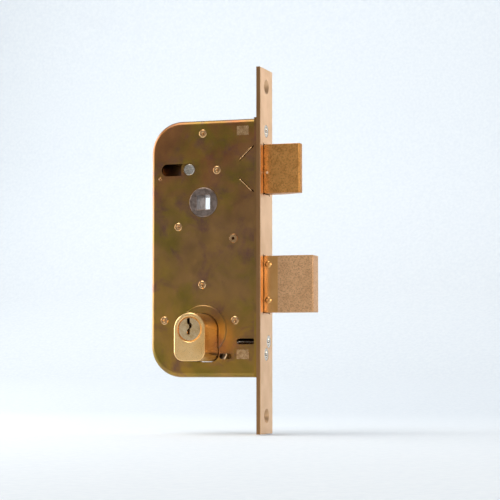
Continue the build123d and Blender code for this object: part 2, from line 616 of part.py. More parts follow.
def make_detent_spring():
    """Torsion spring on the detent's pivot: one leg on the lever's peg, one on the back wall."""
    x, z = PIVOT_PLACE
    wire = 0.35
    r = 3.2
    y0 = TAIL_Y1 + 0.6
    turns = 3
    pitch = 0.85
    path = Helix(pitch, pitch * turns, r)
    body = sweep(Plane(path @ 0, z_dir=path % 0) * Circle(wire), path, is_frenet=True)
    body = Pos(x, y0, z) * Rot(-90, 0, 0) * body
    y1 = y0 + pitch * turns
    peg_x, peg_z = detent_peg()
    run = peg_x + 2.0 - (x + r)
    drop = peg_z + 1.0 + 2 * wire - z
    leg = extrude(Plane(origin=(x + r, y1, z), z_dir=(run, 0, drop)) * Circle(wire),
                  amount=math.hypot(run, drop))
    stop = BACK_IN + 0.1
    short = extrude(Plane(origin=(x + r, y0, z), z_dir=(0, 0, 1)) * Circle(wire), amount=9.0)
    bar = x_rod(wire, stop, x + r, y0, z + 9.0)
    for y, up in ((y0, 0), (y0, 9.0), (y1, 0)):
        body += Pos(x + r, y, z + up) * Sphere(wire)
    return body + leg + short + bar


# ---------------------------------------------------------------- cylinder
def pin_places(side):
    """Places along Y of the five pin chambers in the outer (-1) or inner (1) half."""
    first = 10.0
    return [side * (first + 4.0 * i) for i in range(5)]


def make_cylinder_body():
    length = CYLINDER_HALF_LENGTH
    body = slab(cylinder_outline(0), -length, length)
    for face in (body.faces().sort_by(Axis.Y)[0], body.faces().sort_by(Axis.Y)[-1]):
        body = chamfer(body.edges().filter_by(lambda e: abs(e.center().Y - face.center().Y) < 0.01), 0.4)
    bore = PLUG_R + 0.05
    body -= y_rod(bore, -length, length, KEY_X, KEY_Z)
    body -= y_cone(bore + 0.4, bore, -length, -length + 0.4, KEY_X, KEY_Z)
    body -= y_cone(bore, bore + 0.4, length - 0.4, length, KEY_X, KEY_Z)
    cam_room = CAM_R + GAP
    body -= block(KEY_X - 12, KEY_X + 12, CAM_SLOT_Y0, CAM_SLOT_Y1, KEY_Z - cam_room, KEY_Z + 12)
    for side in (-1, 1):
        for y in pin_places(side):
            body -= Pos(KEY_X, y, KEY_Z - CYLINDER_DROP) * Cylinder(1.5, CYLINDER_DROP, align=BOTTOM)
    body -= x_rod(CYLINDER_SCREW_R, KEY_X, KEY_X + 12, CYLINDER_SCREW_Y, CYLINDER_SCREW_Z)
    return body


def keyway():
    """Zigzag warding of the keyway, from the top of the plug to just below its axis."""
    x = KEY_X
    z = KEY_Z
    left = [(x - 1.4, z + 6.1), (x - 1.4, z + 3.2), (x - 0.2, z + 2.2), (x - 0.2, z + 0.6),
            (x - 1.4, z - 0.4), (x - 1.4, z - 3.0)]
    right = [(x + 0.2, z - 3.0), (x + 0.2, z + 0.1), (x + 1.3, z + 1.1), (x + 1.3, z + 2.8),
             (x + 0.2, z + 3.8), (x + 0.2, z + 6.1)]
    return outline(left + right)


def make_plug(side):
    """Key plug of one half, with its keyway, pin chambers and a neck for its clip."""
    face = CYLINDER_HALF_LENGTH - 0.3
    inner = abs(CAM_SLOT_Y0) if side < 0 else CAM_SLOT_Y1
    cam_face = abs(CAM_Y0) if side < 0 else CAM_Y1
    y0, y1 = sorted((side * face, side * inner))
    plug = y_rod(PLUG_R, y0, y1, KEY_X, KEY_Z)
    plug = chamfer(plug.faces().sort_by(Axis.Y)[0 if side < 0 else -1].edges(), 0.6)
    neck0, neck1 = sorted((side * inner, side * (cam_face + 0.15)))
    k0, k1 = sorted((side * face, side * (inner + 1.5)))
    plug -= slab(keyway(), k0, k1)
    for y in pin_places(side):
        plug -= Pos(KEY_X, y, KEY_Z - PLUG_R - 1) * Cylinder(1.5, PLUG_R, align=BOTTOM)
    return plug + y_rod(5.5, neck0, neck1, KEY_X, KEY_Z)


def make_plug_clip(side):
    """Retaining clip on the neck of a plug."""
    if side < 0:
        y0 = CAM_SLOT_Y0 + 0.1
    else:
        y0 = CAM_SLOT_Y1 - 0.8
    clip = y_rod(7.9, y0, y0 + 0.7, KEY_X, KEY_Z) - y_rod(5.5, y0, y0 + 0.7, KEY_X, KEY_Z)
    return clip - block(KEY_X - 2, KEY_X + 2, y0, y0 + 0.7, KEY_Z - 9, KEY_Z)


def make_cylinder_cam():
    cam = y_rod(CAM_HUB_R, CAM_Y0, CAM_Y1, KEY_X, KEY_Z)
    bit = block(KEY_X - CAM_WIDTH / 2, KEY_X + CAM_WIDTH / 2, CAM_Y0, CAM_Y1, KEY_Z - CAM_R, KEY_Z)
    bit &= y_rod(CAM_R, CAM_Y0, CAM_Y1, KEY_X, KEY_Z)
    return cam + bit


def pin_group(side, z0, z1, r):
    """Five round pins standing in the chambers of one half."""
    return Compound(children=[Pos(KEY_X, y, KEY_Z - z0) * Cylinder(r, z0 - z1, align=BOTTOM)
                              for y in pin_places(side)])


def make_key_pins(side):
    return pin_group(side, PLUG_R - 0.1, 3.2, 1.4)


def make_driver_pins(side):
    return pin_group(side, 11.0, PLUG_R + 0.2, 1.4)


def make_pin_springs(side):
    springs = []
    for y in pin_places(side):
        spring = coil(0.2, 1.05, 4.2, 5)
        springs.append(Pos(KEY_X, y, KEY_Z - 15.3) * spring)
    return Compound(children=springs)


def make_chamber_plugs(side):
    return pin_group(side, CYLINDER_DROP - 0.2, 15.5, 1.5)


# ---------------------------------------------------------------- the assembly
PARTS = {
    "case_tray": make_case_tray,
    "cover_plate": make_cover_plate,
    "case_posts": make_case_posts,
    "cover_sleeve": make_cover_sleeve,
    "cover_screws": make_cover_screws,
    "fixing_blocks": make_fixing_blocks,
    "forend": make_forend,
    "backing_plate": make_backing_plate,
    "forend_screws": make_forend_screws,
    "cylinder_screw": make_cylinder_screw,
    "follower": make_follower,
    "latch_head": make_latch_head,
    "latch_head_pin": make_latch_head_pin,
    "latch_stem": make_latch_stem,
    "latch_stem_clip": make_latch_stem_clip,
    "latch_carriage": make_latch_carriage,
    "latch_tail_pin": make_latch_tail_pin,
    "latch_stud": make_latch_stud,
    "latch_spring_rod": make_latch_spring_rod,
    "latch_spring": make_latch_spring,
    "deadbolt_tail": make_deadbolt_tail,
    "deadbolt_head": make_deadbolt_head,
    "deadbolt_rivets": make_deadbolt_rivets,
    "deadbolt_stud": make_deadbolt_stud,
    "detent_pivot": make_detent_pivot,
    "detent_lever": make_detent_lever,
    "detent_spring": make_detent_spring,
    "cylinder_body": make_cylinder_body,
    "cylinder_cam": make_cylinder_cam,
}

HALVES = {
    "plug": make_plug,
    "plug_clip": make_plug_clip,
    "key_pins": make_key_pins,
    "driver_pins": make_driver_pins,
    "pin_springs": make_pin_springs,
    "chamber_plugs": make_chamber_plugs,
}


def save(shape, name):
    """Saves a piece or a group, moved so that the origin is on the forend's back face."""
    moved = [Pos(FOREND_THICKNESS, 0, 0) * piece for piece in shape.children or [shape]]
    export_step(Compound(children=moved) if len(moved) > 1 else moved[0], f"parts/{name}.step")


def main():
    os.makedirs("parts", exist_ok=True)
    for name, make in PARTS.items():
        save(make(), name)
    for word, side in (("outer", -1), ("inner", 1)):
        for name, make in HALVES.items():
            save(make(side), f"{word}_{name}")


main()
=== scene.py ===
# %% [markdown]
# # A mortise lock, dressed in its real finishes
# The lock is a flat pressed case behind a narrow forend, with a latch, a long deadbolt and a
# key cylinder. Its exact shapes come from the imported model, so this lesson is about two things:
# the finish of every metal, and the small worked details that a plain solid lacks, such as
# screw threads, a wound spring, and the bright lips of a sheared slit. Everything is in metres.

# %% Load the frame and keep its box
import bmesh
import bpy
import math
import numpy as np
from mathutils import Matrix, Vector


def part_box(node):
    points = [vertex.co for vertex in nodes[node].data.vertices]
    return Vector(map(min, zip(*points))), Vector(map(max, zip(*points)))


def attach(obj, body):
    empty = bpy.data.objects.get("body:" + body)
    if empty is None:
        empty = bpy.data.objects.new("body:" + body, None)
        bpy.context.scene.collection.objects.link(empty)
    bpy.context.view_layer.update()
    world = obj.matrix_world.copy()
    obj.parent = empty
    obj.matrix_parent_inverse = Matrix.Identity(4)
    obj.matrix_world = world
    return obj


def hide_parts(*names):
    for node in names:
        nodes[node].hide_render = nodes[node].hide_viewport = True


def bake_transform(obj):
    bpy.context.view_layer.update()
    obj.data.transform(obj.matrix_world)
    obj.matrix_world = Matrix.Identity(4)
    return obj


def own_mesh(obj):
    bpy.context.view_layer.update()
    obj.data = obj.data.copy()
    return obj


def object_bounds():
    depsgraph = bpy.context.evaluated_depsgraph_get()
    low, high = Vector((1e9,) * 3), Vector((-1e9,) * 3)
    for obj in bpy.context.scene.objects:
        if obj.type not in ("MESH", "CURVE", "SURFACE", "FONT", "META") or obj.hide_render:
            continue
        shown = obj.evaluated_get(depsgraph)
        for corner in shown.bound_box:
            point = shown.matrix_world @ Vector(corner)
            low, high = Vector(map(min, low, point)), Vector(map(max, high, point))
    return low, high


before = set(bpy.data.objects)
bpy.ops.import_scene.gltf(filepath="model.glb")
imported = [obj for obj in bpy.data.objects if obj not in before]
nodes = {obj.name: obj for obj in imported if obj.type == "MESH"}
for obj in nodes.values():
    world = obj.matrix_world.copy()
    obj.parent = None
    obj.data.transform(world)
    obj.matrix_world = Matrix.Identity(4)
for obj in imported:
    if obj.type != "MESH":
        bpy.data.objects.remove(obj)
cad_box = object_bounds()
MM = 0.001
print("nodes:", len(nodes), "size:", [round(c, 4) for c in cad_box[1] - cad_box[0]])

# %% [markdown]
# ## Colours and nodes
# Colours are easier to choose as the hex values that a paint chart gives. Blender works in
# linear light, so one function turns the hex value into linear numbers. A second small function
# adds a node, sets its fields and makes its links, which keeps each finish short to read.

# %% Helpers for colours and nodes
def linear(hex_value):
    """sRGB hex to linear: each channel is divided by 12.92 below 0.04045, else raised to 2.4."""
    c = np.array([int(hex_value[i:i + 2], 16) for i in (0, 2, 4)]) / 255.0
    c = np.where(c <= 0.04045, c / 12.92, ((c + 0.055) / 1.055) ** 2.4)
    return (*c.tolist(), 1.0)


def add(tree, kind, inputs=None, **fields):
    """Adds a node, sets its fields, and fills its inputs with values or with other sockets."""
    node = tree.nodes.new(kind)
    for key, value in fields.items():
        setattr(node, key, value)
    for key, value in (inputs or {}).items():
        if isinstance(value, bpy.types.NodeSocket):
            tree.links.new(value, node.inputs[key])
        else:
            node.inputs[key].default_value = value
    return node


def blank(name):
    """New material with only an output and a metal shader, and the tree to build it in."""
    material = bpy.data.materials.new(name)
    material.use_nodes = True
    tree = material.node_tree
    tree.nodes.clear()
    shader = add(tree, "ShaderNodeBsdfPrincipled")
    shader.inputs["Metallic"].default_value = 1.0
    out = add(tree, "ShaderNodeOutputMaterial", {"Surface": shader.outputs[0]})
    out.is_active_output = True
    coords = add(tree, "ShaderNodeTexCoord").outputs["Object"]
    return material, tree, shader, coords


def ramp(tree, factor, stops):
    """Colour ramp through hex colours at the given places."""
    node = add(tree, "ShaderNodeValToRGB", {"Fac": factor})
    elements = node.color_ramp.elements
    for place, colour in stops[2:]:
        elements.new(place)
    for element, (place, colour) in zip(elements, sorted(stops)):
        element.position = place
        element.color = linear(colour)
    return node.outputs["Color"]


def per_metre(size_mm):
    """Noise scale whose spots are about size_mm across."""
    return 1.0 / (size_mm * MM)


# %% [markdown]
# ## Yellow passivated steel
# The case is mild steel sheet, zinc plated and dipped in a yellow chromate bath. The film is
# only a few hundred nanometres thick, so it shows interference colours: brown gold, with olive
# and purple clouds where the film is thicker. Rolled sheet also keeps a faint vertical grain.
# Large soft noise mixes the cloud colours, a gradient along the height paints light and shade (the
# bottom lighter as a painted reflection of the floor, the top browner and darker), and two finer
# noises make the grain and the tiny pits.

# %% Passivated sheet
FILM_COAT = 0.5
FILM_COAT_ROUGHNESS = 0.14


def painted_height_shade(tree, coords, low, high):
    """Runs from 0 at height low to 1 at height high, as a share of the piece's Z."""
    z = add(tree, "ShaderNodeSeparateXYZ", {0: coords}).outputs["Z"]
    return add(tree, "ShaderNodeMapRange", {"Value": z, "From Min": low, "From Max": high}).outputs[0]


def clouds(tree, coords, size_mm, detail=3.0, rough=0.5, twist=0.0, offset=0.0):
    """Soft noise with spots of a real size, from 0 to 1."""
    place = add(tree, "ShaderNodeMapping", {"Vector": coords, "Location": (offset, offset * 0.7, 0)})
    return add(tree, "ShaderNodeTexNoise", {"Vector": place.outputs[0], "Scale": per_metre(size_mm),
                                            "Detail": detail, "Roughness": rough,
                                            "Distortion": twist}).outputs["Fac"]


def mixed(tree, factor, a, b):
    """Mixes two colours, each a socket or a hex value."""
    node = add(tree, "ShaderNodeMix", data_type="RGBA")
    tree.links.new(factor, node.inputs["Factor"])
    for socket, colour in ((node.inputs[6], a), (node.inputs[7], b)):
        if isinstance(colour, bpy.types.NodeSocket):
            tree.links.new(colour, socket)
        else:
            socket.default_value = linear(colour)
    return node.outputs[2]


def spread(tree, value, low, high, to_low, to_high):
    """Stretches a value from one range to another, and stops it at the ends."""
    return add(tree, "ShaderNodeMapRange", {"Value": value, "From Min": low, "From Max": high,
                                            "To Min": to_low, "To Max": to_high}).outputs[0]


def bumped(tree, shader, height, distance_mm, strength):
    """Raises the surface by a height of up to distance_mm."""
    bump = add(tree, "ShaderNodeBump", {"Height": height, "Distance": distance_mm * MM,
                                        "Strength": strength})
    tree.links.new(bump.outputs[0], shader.inputs["Normal"])


def passivated(name, top, middle, bottom, olive, purple, low, high):
    """Sheet with a thin glossy film. Share of height plus soft noise picks bottom, middle or top
    colour, two more noises lay the olive and purple clouds over it, and stretched noise is the
    rolled grain."""
    material, tree, shader, coords = blank(name)
    # The share of height is painted shade: the ramp runs from a lighter bottom, a painted reflection of the
    # floor, to a browner, darker top.
    rise = painted_height_shade(tree, coords, low, high)
    wander = clouds(tree, coords, 38.0)
    shifted = add(tree, "ShaderNodeMath", {0: rise, 1: wander}, operation="ADD")
    body = ramp(tree, spread(tree, shifted.outputs[0], 0.45, 1.5, 0.0, 1.0),
                [(0.0, bottom), (1.0, top), (0.5, middle)])
    patch = spread(tree, clouds(tree, coords, 21.0, 4.0, 0.55, 0.4), 0.46, 0.66, 0.0, 0.75)
    body = mixed(tree, patch, body, olive)
    tint = spread(tree, clouds(tree, coords, 15.0, 4.0, 0.6, 0.5, 0.31), 0.50, 0.70, 0.0, 0.75)
    body = mixed(tree, tint, body, purple)
    fine = clouds(tree, coords, 0.7, 5.0, 0.65)
    body = mixed(tree, spread(tree, fine, 0.35, 0.65, 0.0, 0.22), body, bottom)
    tree.links.new(body, shader.inputs["Base Color"])
    tree.links.new(spread(tree, clouds(tree, coords, 9.0, 4.0, 0.6, 0.0, 0.7), 0.3, 0.7, 0.28, 0.42),
                   shader.inputs["Roughness"])
    shader.inputs["Coat Weight"].default_value = FILM_COAT
    shader.inputs["Coat Roughness"].default_value = FILM_COAT_ROUGHNESS
    grain = add(tree, "ShaderNodeMapping", {"Vector": coords, "Scale": (1.0, 1.0, 0.06)})
    lines = add(tree, "ShaderNodeTexNoise", {"Vector": grain.outputs[0], "Scale": per_metre(0.5),
                                             "Detail": 4.0}).outputs["Fac"]
    both = add(tree, "ShaderNodeMath", {0: lines, 1: fine}, operation="ADD").outputs[0]
    bumped(tree, shader, both, 0.02, 0.35)
    return material


tray_low, tray_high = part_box("case_tray")[0].z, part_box("case_tray")[1].z
# The top, middle and bottom colours are painted shade: darker at the top, lighter at the bottom as a painted
# floor reflection.
sheet = passivated("yellow_passivated_sheet", "8A5530", "8F6A42", "A67E2E", "7C6C1C", "684049",
                   tray_low, tray_high)
print("made", sheet.name)

# %% [markdown]
# ## Forend, latch, deadbolt and cylinder
# The forend is steel with a pale brass plate, brushed along its length. The latch head is a
# casting that was tumbled in a barrel, so its gold surface is dull and evenly pitted. The
# deadbolt head is rougher still and plated paler, while its root was ground smooth and keeps an
# orange passivate. The cylinder is drawn brass bar with a satin finish. Each one is the same
# idea with different numbers: a base colour, a slower colour cloud, grain or pits, and a
# roughness that varies.

# %% Brushed, tumbled and satin metals
def brushed(name, light, dark, along, rough, line_mm=0.25, depth_mm=0.006, stretch=0.02):
    """Metal brushed along one axis: noise stretched along that axis makes the lines."""
    material, tree, shader, coords = blank(name)
    scale = [1.0, 1.0, 1.0]
    scale["XYZ".index(along)] = stretch
    place = add(tree, "ShaderNodeMapping", {"Vector": coords, "Scale": scale})
    lines = add(tree, "ShaderNodeTexNoise", {"Vector": place.outputs[0], "Scale": per_metre(line_mm),
                                             "Detail": 5.0, "Roughness": 0.6}).outputs["Fac"]
    cloud = clouds(tree, coords, 12.0, 3.0)
    body = mixed(tree, spread(tree, cloud, 0.35, 0.65, 0.0, 0.8), light, dark)
    body = mixed(tree, spread(tree, lines, 0.4, 0.7, 0.0, 0.35), body, dark)
    tree.links.new(body, shader.inputs["Base Color"])
    tree.links.new(spread(tree, lines, 0.3, 0.7, rough - 0.05, rough + 0.08), shader.inputs["Roughness"])
    bumped(tree, shader, lines, depth_mm, 0.5)
    return material


def tumbled(name, light, dark, deep, pit_mm, depth_mm, rough):
    """Cast and tumbled metal: two noises for the pits, darker where they are deep."""
    material, tree, shader, coords = blank(name)
    pits = clouds(tree, coords, pit_mm, 6.0, 0.62)
    broad = clouds(tree, coords, pit_mm * 5.0, 4.0, 0.5, 0.0, 0.2)
    body = mixed(tree, spread(tree, broad, 0.35, 0.65, 0.0, 0.7), light, dark)
    body = mixed(tree, spread(tree, pits, 0.46, 0.62, 0.0, 0.7), body, deep)
    tree.links.new(body, shader.inputs["Base Color"])
    tree.links.new(spread(tree, pits, 0.3, 0.7, rough - 0.06, rough + 0.10), shader.inputs["Roughness"])
    upside = add(tree, "ShaderNodeMath", {0: pits, 1: -1.0}, operation="MULTIPLY").outputs[0]
    bumped(tree, shader, upside, depth_mm, 0.8)
    return material


def plain_metal(name, light, dark, rough, spot_mm=3.0, grain_mm=0.35, depth_mm=0.006):
    """Turned or plated small parts: slight stain, fine all-round grain."""
    material, tree, shader, coords = blank(name)
    stain = clouds(tree, coords, spot_mm, 4.0, 0.6)
    tree.links.new(mixed(tree, spread(tree, stain, 0.35, 0.68, 0.0, 1.0), light, dark),
                   shader.inputs["Base Color"])
    fine = clouds(tree, coords, grain_mm, 4.0, 0.6, 0.0, 0.4)
    tree.links.new(spread(tree, fine, 0.3, 0.7, rough - 0.05, rough + 0.08), shader.inputs["Roughness"])
    bumped(tree, shader, fine, depth_mm, 0.5)
    return material


# The forend's long edges are painted darker than its faces: painted shade for the weaker light these
# sides catch. On a face the normal points along X, so the share of the shade colour falls from its
# full share to nothing as the normal's X size grows.
EDGE_BELOW, FACE_ABOVE = 0.3, 0.8
EDGE_SHADE_SHARE = 0.85
EDGE_SHADE_COLOUR = "8C6238"
forend_metal = brushed("pale_brass_plated_steel", "EEC49A", "DDB183", "Z", 0.34)
tree = forend_metal.node_tree
shader = next(n for n in tree.nodes if n.type == "BSDF_PRINCIPLED")
facing = add(tree, "ShaderNodeTexCoord").outputs["Normal"]
facing = add(tree, "ShaderNodeSeparateXYZ", {0: facing}).outputs["X"]
facing = add(tree, "ShaderNodeMath", {0: facing}, operation="ABSOLUTE").outputs[0]
# edge is the share of painted shade on the forend's sides.
edge = spread(tree, facing, EDGE_BELOW, FACE_ABOVE, EDGE_SHADE_SHARE, 0.0)
front = shader.inputs["Base Color"].links[0].from_socket
tree.links.new(mixed(tree, edge, front, EDGE_SHADE_COLOUR), shader.inputs["Base Color"])
tumbled("tumbled_gold_casting", "D49A58", "BC8448", "8C602E", 0.9, 0.03, 0.42)
tumbled("rough_cast_pale_plating", "E2B488", "CC9E72", "A07850", 0.8, 0.03, 0.44)
brushed("ground_orange_passivate", "E0AA6C", "CC924F", "Z", 0.32, 0.4)
brushed("satin_drawn_brass", "FFD79A", "EDB870", "Y", 0.30, 0.35)
plain_metal("turned_brass", "FFE0B0", "E6BC80", 0.20, 4.0, 0.4)
plain_metal("bare_zinc_casting", "988880", "6E6056", 0.34, 2.5, 0.5, 0.015)
plain_metal("bright_zinc_plate", "E0DAD0", "B8AE9E", 0.22, 3.0)
plain_metal("passivated_turned_steel", "E8BE8C", "B98A58", 0.22, 2.0)
plain_metal("drawn_spring_wire", "A8A298", "7E776C", 0.30, 2.0)
print("finishes:", len(bpy.data.materials))

# %% [markdown]
# ## Which piece has which finish
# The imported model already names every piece, so the finish is only a matter of setting its
# material slot. A loop over a table keeps that in one place.

# %% Assign the finishes
FINISHES = {
    "yellow_passivated_sheet": ["case_tray", "cover_plate", "latch_carriage", "backing_plate"],
    "passivated_turned_steel": ["fixing_blocks", "case_posts", "cover_sleeve", "latch_stud", "deadbolt_stud",
                                "detent_pivot", "detent_lever"],
    "pale_brass_plated_steel": ["forend"],
    "tumbled_gold_casting": ["latch_head"],
    "rough_cast_pale_plating": ["deadbolt_head"],
    "ground_orange_passivate": ["deadbolt_tail", "deadbolt_rivets"],
    "bare_zinc_casting": ["follower", "cylinder_cam"],
    "satin_drawn_brass": ["cylinder_body"],
    "turned_brass": ["outer_plug", "inner_plug", "outer_key_pins", "inner_key_pins", "outer_driver_pins",
                     "inner_driver_pins", "outer_chamber_plugs", "inner_chamber_plugs"],
    "bright_zinc_plate": ["latch_tail_pin", "latch_stem", "latch_head_pin", "latch_spring_rod",
                          "cover_screws", "forend_screws", "cylinder_screw"],
    "drawn_spring_wire": ["latch_spring", "detent_spring", "latch_stem_clip", "outer_plug_clip",
                          "inner_plug_clip", "outer_pin_springs", "inner_pin_springs"],
}
for finish, names in FINISHES.items():
    for name in names:
        nodes[name].data.materials.clear()
        nodes[name].data.materials.append(bpy.data.materials[finish])
bare = sorted(set(nodes) - {n for names in FINISHES.values() for n in names})
print("pieces without a finish:", bare)

# %% [markdown]
# ## Screws with a real thread
# A window in the case shows the long screw that holds the cylinder, and the forend shows two
# countersunk heads. A turned screw is a profile spun round its axis, so it could be made with
# Blender's Screw modifier, but the thread and the cross recess both break that symmetry. A
# surface of two parameters keeps it to one formula: the distance along the outline gives the
# profile, the angle round the axis leads the thread by one pitch a turn, and the head is pushed
# in where the cross is.

# %% Screw surface
THREAD_DEPTH = 0.45  # share of the pitch
CROSS_HALF, CROSS_SLOPE = 0.17, 0.05  # shares of the head's radius, as are the next three
CROSS_REACH, CROSS_FADE = 0.62, 0.08
CROSS_DEPTH = 0.32


def screw_rows(head_face, tip, head_r, shank_r, y, z, pitch=0.7 * MM, around=48):
    """Screw along X. Outline: out over the head's face, down the 90 degree cone, along the thread
    to the tip. Thread: the radius falls by up to THREAD_DEPTH of a pitch, as a triangle wave of
    (distance along the axis over pitch minus angle over a turn). Cross: the face sinks where
    either coordinate is under the cross's half width, and has faded out at CROSS_REACH."""
    rise = head_r - shank_r
    face = np.linspace(0.0, head_r, 15)
    cone = np.linspace(0.0, 1.0, 5)[1:]
    length = head_face - rise - tip
    steps = int(length / pitch * 8)
    along = np.linspace(0.0, length, steps)[1:]
    end = np.linspace(1.0, 0.0, 5)[1:]
    radius = np.concatenate([face, head_r - rise * cone, np.full(len(along), shank_r), shank_r * end])
    x = np.concatenate([np.full(len(face), head_face), head_face - rise * cone,
                        head_face - rise - along, np.full(len(end), tip)])
    cut = np.concatenate([np.zeros(len(face) + len(cone)), np.ones(len(along)), np.zeros(len(end))])
    cut *= np.clip((head_face - rise - x) / pitch, 0, 1) * np.clip((x - tip) / pitch, 0, 1)
    turn = np.linspace(0.0, 2 * np.pi, around + 1)
    phase = (x[:, None] / pitch - turn[None, :] / (2 * np.pi)) % 1.0
    ridge = np.abs(phase * 2.0 - 1.0)
    r = radius[:, None] - cut[:, None] * THREAD_DEPTH * pitch * (1.0 - ridge)
    a, b = r * np.cos(turn), r * np.sin(turn)
    on_face = np.concatenate([np.ones(len(face)), np.zeros(len(x) - len(face))])[:, None]
    nearer = np.minimum(np.abs(a), np.abs(b))
    arm = np.clip((CROSS_HALF * head_r - nearer) / (CROSS_SLOPE * head_r), 0, 1)
    reach = np.clip((CROSS_REACH * head_r - r) / (CROSS_FADE * head_r), 0, 1)
    sink = on_face * arm * reach * CROSS_DEPTH * head_r
    return np.stack([x[:, None] - sink, y + a, z + b], axis=-1)


def tubes_mesh(name, tubes):
    """One mesh of tubes whose first and last rings have shrunk to points. The last column repeats
    the first and is dropped, each cell is a face, and the two poles are fans."""
    points, faces, start = [], [], 0
    for rows in tubes:
        rings = rows[1:-1, :-1]
        count, around = rings.shape[:2]
        index = start + np.arange(count * around).reshape(count, around)
        after = np.roll(index, -1, axis=1)
        first, last = start + count * around, start + count * around + 1
        faces += np.stack([index[:-1], index[1:], after[1:], after[:-1]], axis=-1).reshape(-1, 4).tolist()
        faces += np.stack([np.full(around, first), index[0], after[0]], axis=-1).tolist()
        faces += np.stack([np.full(around, last), after[-1], index[-1]], axis=-1).tolist()
        points += np.concatenate([rings.reshape(-1, 3), rows[:1, 0], rows[-1:, 0]]).tolist()
        start = len(points)
    mesh = bpy.data.meshes.new(name)
    mesh.from_pydata(points, [], faces)
    mesh.polygons.foreach_set("use_smooth", np.ones(len(mesh.polygons), bool))
    mesh.update()
    piece = bpy.data.objects.new(name, mesh)
    bpy.context.scene.collection.objects.link(piece)
    return piece


def shown_screw(piece, node):
    """Gives a threaded screw its finish and its body, and lets it stand for the plain CAD one."""
    piece.data.materials.append(bpy.data.materials["bright_zinc_plate"])
    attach(piece, "case")
    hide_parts(node)
    print(piece.name, "faces:", len(piece.data.polygons))


shank_r = 2.0 * MM
low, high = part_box("cylinder_screw")
head_r = (high.y - low.y) / 2
rows = screw_rows(high.x, low.x, head_r, shank_r, low.y + head_r, low.z + head_r)
shown_screw(tubes_mesh("cylinder_screw_threaded", [rows]), "cylinder_screw")
low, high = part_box("forend_screws")
head_r = (high.y - low.y) / 2
rows = [screw_rows(high.x, low.x, head_r, shank_r, 0.0, z) for z in (low.z + head_r, high.z - head_r)]
shown_screw(tubes_mesh("forend_screws_threaded", rows), "forend_screws")

# %% [markdown]
# ## Springs
# The latch spring is a wound wire between the back of the case and the latch carriage, and it
# shortens when the latch goes in. The detent's torsion spring has one leg that follows the lever.
# The exact model holds both still, so a moved lever would pass through the wire. A wound wire is a
# circle carried along a helix, which suits the latch spring. The torsion spring has legs of its own
# shape, so a merged copy of its exact mesh stands for it.

# %% Wound latch spring
def coil_rows(low, high, wire_r, turns, along=360, around=10):
    """Wire round an X axis in the box low..high. The wire's middle turns evenly with the share of
    its length. It moves along X by the share minus sin(4 pi share) / (8 pi), so the pitch is half
    the average at both ends and in the middle, and one and a half times it at the quarters."""
    share = np.linspace(0.0, 1.0, along)
    turn = 2 * np.pi * turns * share
    eased = share - 0.5 * np.sin(4 * np.pi * share) / (4 * np.pi)
    middle_y, middle_z = (low.y + high.y) / 2, (low.z + high.z) / 2
    coil_r = (high.z - low.z) / 2 - wire_r
    out = np.stack([np.zeros(along), np.cos(turn), np.sin(turn)], axis=-1)
    x = low.x + wire_r + eased * (high.x - low.x - 2 * wire_r)
    middle = np.stack([x, middle_y + coil_r * out[:, 1], middle_z + coil_r * out[:, 2]], axis=-1)
    size = wire_r * np.sqrt(np.clip(1.0 - (2 * share - 1) ** 400, 0.0, 1.0))[:, None, None]
    ring = np.linspace(0.0, 2 * np.pi, around + 1)
    axis = np.array([1.0, 0.0, 0.0])
    across = np.cos(ring)[None, :, None] * out[:, None, :] + np.sin(ring)[None, :, None] * axis
    return middle[:, None, :] + size * across


low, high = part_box("latch_spring")
SPRING_WIRE_R = 0.4 * MM
SPRING_TURNS = 10
spring = tubes_mesh("latch_spring_wound", [coil_rows(low, high, SPRING_WIRE_R, SPRING_TURNS)])
spring.data.materials.append(bpy.data.materials["drawn_spring_wire"])
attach(spring, "case")
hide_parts("latch_spring")
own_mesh(spring)
print("latch spring:", round((high.x - low.x) / MM, 1), "mm long at rest")

# %% Torsion spring as a merged copy of its exact mesh
low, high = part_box("detent_spring")
MERGE_DISTANCE = 0.001 * MM
mesh = nodes["detent_spring"].data.copy()
work = bmesh.new()
work.from_mesh(mesh)
bmesh.ops.remove_doubles(work, verts=work.verts, dist=MERGE_DISTANCE)
work.to_mesh(mesh)
work.free()
torsion = bpy.data.objects.new("detent_spring_bent", mesh)
bpy.context.scene.collection.objects.link(torsion)
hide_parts("detent_spring")
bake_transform(torsion)
print("torsion spring:", len(mesh.polygons), "faces")

# %% [markdown]
# ## Sheared edges of the spring tongue
# Two slanting slits free a tongue of the case beside the latch. The press shears them, which rolls
# the lip up and rubs the passivate off, so each slit shows as a bright line. A flat stripe of
# colour would not catch the light as the lip does, so each lip is a thin rounded bead, made as a
# circle carried along the slit that shrinks to a point at both ends.

# %% Beads along the slits
def bead_rows(start, end, radius, along=24, around=12):
    """Bead from start to end. A point is the straight line's point plus radius times a circle
    across it. The circle's size falls as the root of one minus (twice the share less one)^8."""
    start, end = np.array(start), np.array(end)
    share = np.linspace(0.0, 1.0, along)
    turn = np.linspace(0.0, 2 * np.pi, around + 1)
    way = (end - start) / np.linalg.norm(end - start)
    out = np.array([0.0, -1.0, 0.0])
    side = np.cross(way, out)
    size = radius * np.sqrt(np.clip(1.0 - (2 * share - 1) ** 8, 0.0, 1.0))[:, None, None]
    ring = np.cos(turn)[:, None] * out + np.sin(turn)[:, None] * side
    return start + share[:, None, None] * (end - start) + size * ring


STAKE_RISE = 0.45 * MM
LIP_R = 0.32 * MM
LIP_BACK, LIP_FRONT = (-11.0, 5.4), (-3.8, 12.4)
plate_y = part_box("case_posts")[0].y + STAKE_RISE
latch_z = (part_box("latch_head")[0].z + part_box("latch_head")[1].z) / 2
beads = []
for side in (1, -1):
    ends = [(x * MM, plate_y, latch_z + side * away * MM) for x, away in (LIP_BACK, LIP_FRONT)]
    beads.append(bead_rows(*ends, LIP_R))
lips = tubes_mesh("tongue_lips", beads)
lips.data.materials.append(bpy.data.materials["passivated_turned_steel"])
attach(lips, "case")
print("tongue lips:", len(lips.data.polygons), "faces")

